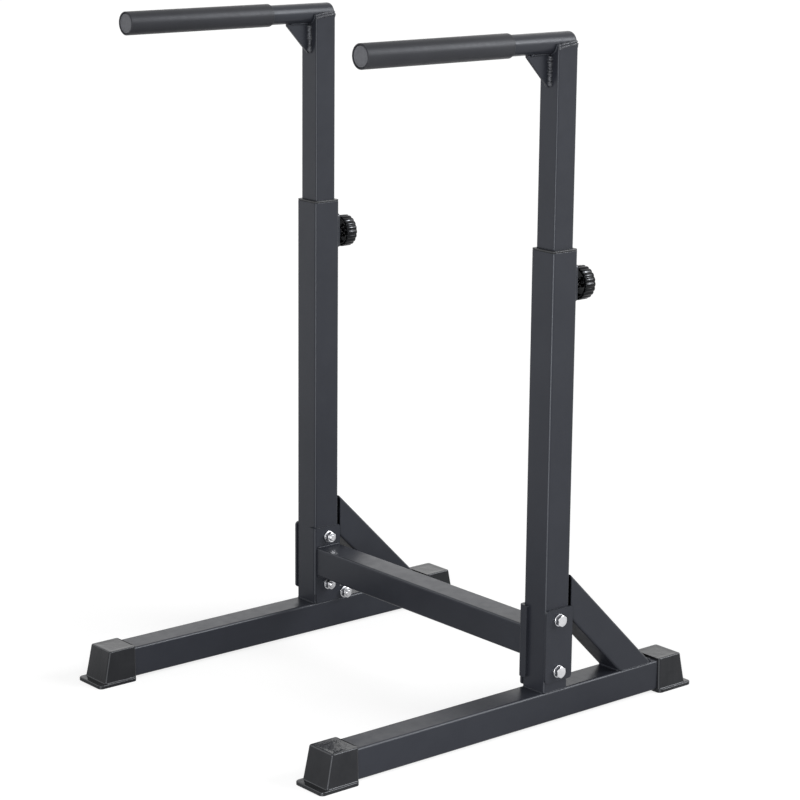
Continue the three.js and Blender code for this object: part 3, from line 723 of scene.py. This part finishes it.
def pin_mount(prefix, side):
    """The doubler, boss and housing that carry the pin, and the looks of the hidden CAD nodes."""
    wide, high = extent("right_pin_plate", X), extent("right_pin_plate", Z)
    plate = rounded(wide, high, PLATE_CORNER, 0.0, middle("right_pin_plate", Z), 8)
    obj = slab(side, f"{prefix}_pin_plate_fine", "y", plate, FLANGE_IN, FLANGE_OUT)
    bore, inside, outside = circle(HOUSING_BORE_R, 0.0, PIN_Z, 48), HALF - 5.0, HALF + 10.0
    combine(obj, "DIFFERENCE", [slab(side, "bore", "y", bore, inside, outside)])
    dress(obj, paint_with_painted_corner_highlights, "frame", [f"{prefix}_pin_plate"], bevel=0.7, steps=3, angle=40)
    boss_r = extent("right_pin_boss", X) / 2
    start, end = span("right_pin_boss", Y, AXIS_Y)
    ring = [(HOUSING_BORE_R, start), (boss_r, start), (boss_r, end), (HOUSING_BORE_R, end)]
    obj = raw(side, f"{prefix}_pin_boss_fine", turned("y", ring, 0.0, PIN_Z))
    dress(obj, paint, "frame", [f"{prefix}_pin_boss"], bevel=0.5)
    obj = from_node(f"{prefix}_pin_housing", f"{prefix}_pin_housing_fine")
    dress(obj, zinc, "frame", [f"{prefix}_pin_housing"], bevel=0.3, angle=40)
    for name, material in (("pull_pin", zinc), ("pin_spring", spring_steel), ("post_glide", guide)):
        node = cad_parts[f"{prefix}_{name}"]
        node.material_slots[0].link = "OBJECT"
        node.material_slots[0].material = material


# Weld seams. The saddle's rows are (out from the seam, height, drop to the front, radius).
SEAM_X = POST / 2 - 2.1
SADDLE_ROWS = ((0.9, BAR_Z + 2.4, 5.0, 1.7), (1.6, BAR_Z - 1.0, 6.0, 2.1))
GUSSET_LOW, GUSSET_HIGH = BAR_Z - 64.0, BAR_Z - 17.5
GUSSET_SEAM_X, GUSSET_BAR_SEAM_X = 3.4, 3.2
BAR_SEAM_R, BOSS_SEAM_R = BAR_R + 1.1, 12.4
BRACE_HALF_CUT = 35.6                         # half the length of the brace's cut on the rail


def welds(prefix, side):
    bar_body = f"{prefix}_bar"

    def run(name, path, radius, body="frame", **rest):
        seed = len(name) + side * 0.37 + path[0][0] * 0.01
        bead(side, f"{prefix}_weld_{name}", path, radius, body, seed=seed, **rest)

    def across(name, reach, y, z, radius, up):
        run(name, [(-reach, y, z), (reach, y, z)], radius, up=up)

    reach, front = POST / 2 - 0.5, -POST / 2
    for k, x in enumerate((-SEAM_X, SEAM_X)):
        for row, (out, z, drop, size) in enumerate(SADDLE_ROWS):
            line = x + math.copysign(out, x)
            path = [(line, -reach, z - drop), (line, -6.0, z - 0.55 * drop), (line, 7.0, z - 0.3 * drop),
                    (line, reach, z)]
            run(f"saddle_{k}_{row}", path, size, bar_body, rough=0.7, bright=True)
        flank, under = math.copysign(GUSSET_SEAM_X, x), math.copysign(GUSSET_BAR_SEAM_X, x)
        path = [(flank, front - 1.0, GUSSET_LOW), (flank, front - 1.4, GUSSET_HIGH)]
        run(f"gusset_post_{k}", path, 3.8, bar_body, up=(x, -1, 0), rough=0.6, pitch=4.3, bright=True)
        path = [(under, front - 4.0, GUSSET_HIGH + 1.3), (under, front - 40.0, GUSSET_HIGH + 1.3)]
        run(f"gusset_bar_{k}", path, 1.7, bar_body, up=(x, 0, -1), rough=0.45)

    steps = 40
    half_turn = [math.pi * (1 + i / steps) for i in range(steps + 1)]
    for name, y, radius in (("bar_front", front - 0.4, 1.6), ("bar_back", 0.3 - front, 1.7)):
        ring = [(BAR_SEAM_R * math.cos(a), y, BAR_Z + BAR_SEAM_R * math.sin(a)) for a in half_turn]
        run(name, ring, radius, bar_body, up=(-1, 0, 0))

    toe, heel = BRACE_REACH + BRACE_HALF_CUT, BRACE_REACH - BRACE_HALF_CUT
    head = RAIL_TOP + heel - FLANGE_OUT           # the brace's underside at the web
    across("upright_front", 22.0, -HALF - 0.4, RAIL_TOP + 0.2, 1.2, (0, -1, 1))
    across("upright_back", 22.0, HALF + 0.6, RAIL_TOP + 0.6, 2.2, (0, 1, 1))
    across("brace_toe", 22.5, toe + 1.0, RAIL_TOP + 1.0, 3.2, (0, 1, 1))
    across("brace_heel", 22.0, heel, RAIL_TOP + 0.6, 2.2, (0, -1, 1))
    across("brace_head", 22.0, FLANGE_OUT + 1.7, head - 2.5, 2.2, (0, 1, -1))
    for k, x in enumerate((0.5 - HALF, HALF - 0.5)):
        z = RAIL_TOP + 0.2
        run(f"upright_side_{k}", [(x, -23.0, z), (x, 23.0, z)], 0.9, up=(x, 0, 0.1))
        run(f"brace_side_{k}", [(x, heel + 4.0, z), (x, toe - 4.0, z)], 0.9, up=(x, 0, 0.1))

    face, back = -side * (PLATE_OUT + 0.8), HALF + 0.6
    for k, z in enumerate((CROSS_Z - HALF - 0.8, CROSS_Z + HALF + 0.8)):
        run(f"cross_{k}", [(face, -23.0, z), (face, 23.0, z)], 2.2, up=(-side, 0, z - CROSS_Z))
    run("cross_back", [(face, back, CROSS_Z - 22.0), (face, back, CROSS_Z + 22.0)], 2.0, up=(-side, 1, 0))
    boss = FLANGE_OUT + 0.5
    ring = [(BOSS_SEAM_R * math.cos(a), boss, PIN_Z + BOSS_SEAM_R * math.sin(a)) for a in turns(48)]
    run("boss", ring, 1.3, closed=True, up=(1, 0, 0))


OUTER_HEAD = FLANGE_OUT + WASHER + 2 * FIT    # where the heads of the outer bolts start
EAR_HEAD = SHEET - HALF + FIT

for prefix, side in SIDES:
    rail = tube("y", TUBE, TUBE_CORNER, TUBE_WALL, RAIL_FRONT, RAIL_BACK, 0.0, RAIL_TOP - HALF)
    dress(raw(side, f"{prefix}_base_rail_fine", rail), paint_with_painted_corner_highlights, "frame",
          [f"{prefix}_base_rail"], bevel=0.4)
    upright = tube("z", TUBE, TUBE_CORNER, TUBE_WALL, RAIL_TOP + FIT, UPRIGHT_TOP)
    dress(raw(side, f"{prefix}_upright_fine", upright), paint_with_painted_corner_highlights, "frame",
          [f"{prefix}_upright"], bevel=0.6, steps=3)
    boot(prefix, side, True)
    boot(prefix, side, False)
    brace(prefix, side)
    bracket(prefix, side)
    end_plate(prefix, side)
    for kind, (y, z) in zip(BOLT_KINDS, BOLT_SPOTS):
        at_ear = kind == "ear"
        fastener(prefix, side, kind, y, z, EAR_HEAD if at_ear else OUTER_HEAD, not at_ear)
    bush(prefix, side)
    post(prefix, side)
    bar(prefix, side)
    pin_mount(prefix, side)
    knob(prefix, side)
    welds(prefix, side)

cross_end = HALF_SPACING - PLATE_OUT - FIT
cross = tube("x", TUBE, TUBE_CORNER, TUBE_WALL, -cross_end, cross_end, 0.0, CROSS_Z)
dress(raw(0, "cross_tube_fine", cross), paint_with_painted_corner_highlights, "frame", ["cross_tube"], bevel=0.4)


# Stage: floor, world, light and camera, in metres
FLOOR_SIZE = 60.0
FLOOR_COLOUR, FLOOR_GLOW, AMBIENT = 0.34, 0.78, 0.36
SHADE_CENTRE, SHADE_SCALE = (-0.091, -0.147), (2.2, 1.7)
BRACE_SHADE = (-0.15, 0.17)                   # beside the upright's X, and Y


def rays_that_see_the_backdrop(tree):
    """1 for camera, glossy and transmission rays."""
    paths = tree.nodes.new("ShaderNodeLightPath")
    seen = paths.outputs["Is Camera Ray"]
    for other in ("Is Glossy Ray", "Is Transmission Ray"):
        seen = calculated(tree, "MAXIMUM", seen, paths.outputs[other])
    return seen


def distance_from(tree, x, y, scale_x=1.0, scale_y=1.0):
    """The floor's distance from a place, scaled along X and Y."""
    coords = tree.nodes.new("ShaderNodeTexCoord")
    mapping = tree.nodes.new("ShaderNodeMapping")
    mapping.inputs["Location"].default_value = (-x * scale_x, -y * scale_y, 0)
    mapping.inputs["Scale"].default_value = (scale_x, scale_y, 0)
    tree.links.new(coords.outputs["Object"], mapping.inputs["Vector"])
    length = tree.nodes.new("ShaderNodeVectorMath")
    length.operation = "LENGTH"
    tree.links.new(mapping.outputs["Vector"], length.inputs[0])
    return length.outputs["Value"]


def shade_in_reflections(tree):
    """In the paint's reflections the floor is darker between the rails and beside the braces, and
    lighter far off, where the upper tubes see it. The camera always sees it whole."""
    distance = distance_from(tree, *SHADE_CENTRE, *SHADE_SCALE)
    shade = spread(tree, distance, 0.46, 1.0, 0.5, 1.6)
    shade = calculated(tree, "MULTIPLY", shade, spread(tree, distance, 0.80, 1.36, 3.2, 7.4))
    for _, side in SIDES:
        beside = distance_from(tree, side * HALF_SPACING * MM + BRACE_SHADE[0], BRACE_SHADE[1])
        shade = calculated(tree, "MULTIPLY", shade, spread(tree, beside, 0.08, 1.0, 0.11, 0.26))
    paths = tree.nodes.new("ShaderNodeLightPath")
    seen = tree.nodes.new("ShaderNodeMix")
    seen.inputs["B"].default_value = 1.0
    tree.links.new(paths.outputs["Is Camera Ray"], seen.inputs["Factor"])
    tree.links.new(shade, seen.inputs["A"])
    return seen.outputs["Result"]


def stage_floor():
    mesh = bpy.data.meshes.new("floor")
    corners = [(u * FLOOR_SIZE, v * FLOOR_SIZE, 0) for u, v in ((-1, -1), (1, -1), (1, 1), (-1, 1))]
    mesh.from_pydata(corners, [], [(0, 1, 2, 3)])
    obj = bpy.data.objects.new("floor", mesh)
    scene.collection.objects.link(obj)
    material = bpy.data.materials.new("pale_floor")
    material.use_nodes = True
    tree = material.node_tree
    tree.nodes.clear()
    diffuse = tree.nodes.new("ShaderNodeBsdfDiffuse")
    diffuse.inputs["Color"].default_value = (FLOOR_COLOUR, FLOOR_COLOUR, FLOOR_COLOUR, 1)
    glow = tree.nodes.new("ShaderNodeEmission")
    glow.inputs["Color"].default_value = (FLOOR_GLOW, FLOOR_GLOW, FLOOR_GLOW, 1)
    strength = calculated(tree, "MULTIPLY", rays_that_see_the_backdrop(tree), shade_in_reflections(tree))
    tree.links.new(strength, glow.inputs["Strength"])
    both = tree.nodes.new("ShaderNodeAddShader")
    tree.links.new(diffuse.outputs[0], both.inputs[0])
    tree.links.new(glow.outputs[0], both.inputs[1])
    out = tree.nodes.new("ShaderNodeOutputMaterial")
    tree.links.new(both.outputs[0], out.inputs["Surface"])
    mesh.materials.append(material)


def studio_world():
    world = bpy.data.worlds.new("studio")
    scene.world = world
    world.use_nodes = True
    tree = world.node_tree
    tree.nodes.clear()
    light = tree.nodes.new("ShaderNodeBackground")
    light.inputs["Color"].default_value = (AMBIENT, AMBIENT, AMBIENT, 1)
    white = tree.nodes.new("ShaderNodeBackground")
    white.inputs["Color"].default_value = (1, 1, 1, 1)
    mix = tree.nodes.new("ShaderNodeMixShader")
    tree.links.new(rays_that_see_the_backdrop(tree), mix.inputs["Fac"])
    tree.links.new(light.outputs[0], mix.inputs[1])
    tree.links.new(white.outputs[0], mix.inputs[2])
    out = tree.nodes.new("ShaderNodeOutputWorld")
    tree.links.new(mix.outputs[0], out.inputs["Surface"])


def lamp(name, data, direction, place=(0, 0, 0)):
    """Puts a light in the scene; direction points from the object towards the light."""
    obj = bpy.data.objects.new(name, data)
    scene.collection.objects.link(obj)
    obj.location = place
    obj.rotation_mode = "QUATERNION"
    obj.rotation_quaternion = direction.to_track_quat("Z", "Y")
    return obj


def sun(name, towards_light, strength, angle):
    data = bpy.data.lights.new(name, "SUN")
    data.energy, data.angle = strength, math.radians(angle)
    lamp(name, data, Vector(towards_light))


def softbox(name, place, target, width, height, power, beam=None):
    """A soft area light; it shows in reflections but not to the camera.

    With a beam of so many degrees it makes glints where it points, and lights nothing else."""
    data = bpy.data.lights.new(name, "AREA")
    data.shape, data.size, data.size_y, data.energy = "RECTANGLE", width, height, power
    obj = lamp(name, data, Vector(place) - Vector(target), place)
    obj.visible_camera = False
    if beam:
        data.spread = math.radians(beam)
        obj.visible_diffuse = False


# The camera fitted to the photo: angles in degrees, place in the side's millimetres,
# focal length and image centre in pixels
CAMERA_YAW, CAMERA_PITCH, CAMERA_ROLL = 48.372, 13.497, 0.961
CAMERA_PLACE = (3071.7, -2618.0, 1432.6)
FOCAL_PIXELS, CENTRE_X_PIXELS, IMAGE_PIXELS = 2565.2, 479.5, 800


def studio_camera():
    yaw, pitch, roll = (math.radians(a) for a in (CAMERA_YAW, CAMERA_PITCH, CAMERA_ROLL))
    forward = Vector((-math.sin(yaw) * math.cos(pitch), math.cos(yaw) * math.cos(pitch), -math.sin(pitch)))
    level = Vector((math.cos(yaw), math.sin(yaw), 0))
    above = level.cross(forward)
    right = level * math.cos(roll) + above * math.sin(roll)
    up = above * math.cos(roll) - level * math.sin(roll)
    data = bpy.data.cameras.new("camera")
    data.sensor_width = 36.0
    data.lens = FOCAL_PIXELS / IMAGE_PIXELS * data.sensor_width
    data.shift_x = ((IMAGE_PIXELS - 1) / 2 - CENTRE_X_PIXELS) / IMAGE_PIXELS
    data.clip_start, data.clip_end = 0.1, 200.0
    obj = bpy.data.objects.new("camera", data)
    scene.collection.objects.link(obj)
    rotation = Matrix((right, up, -forward)).transposed().to_4x4()
    place = (Vector(CAMERA_PLACE) + Vector((0, AXIS_Y, 0))) * MM
    obj.matrix_world = Matrix.Translation(place) @ rotation
    scene.camera = obj


stage_floor()
studio_world()
sun("key", (0.63, 0.62, 0.45), 2.1, 33)
sun("fill", (0.50, -0.79, 0.30), 0.85, 26)
sun("rim", (-0.73, 0.64, 0.26), 0.06, 30)
softbox("low_strip", (1.12, -1.00, 0.40), (0.0, 0.0, 0.76), 0.22, 0.75, 9.0)
softbox("knob_glints", (1.60, 1.50, 1.70), (0.0, 0.14, 0.70), 0.60, 0.40, 0.9, 23)
studio_camera()
scene.view_settings.view_transform = "Standard"
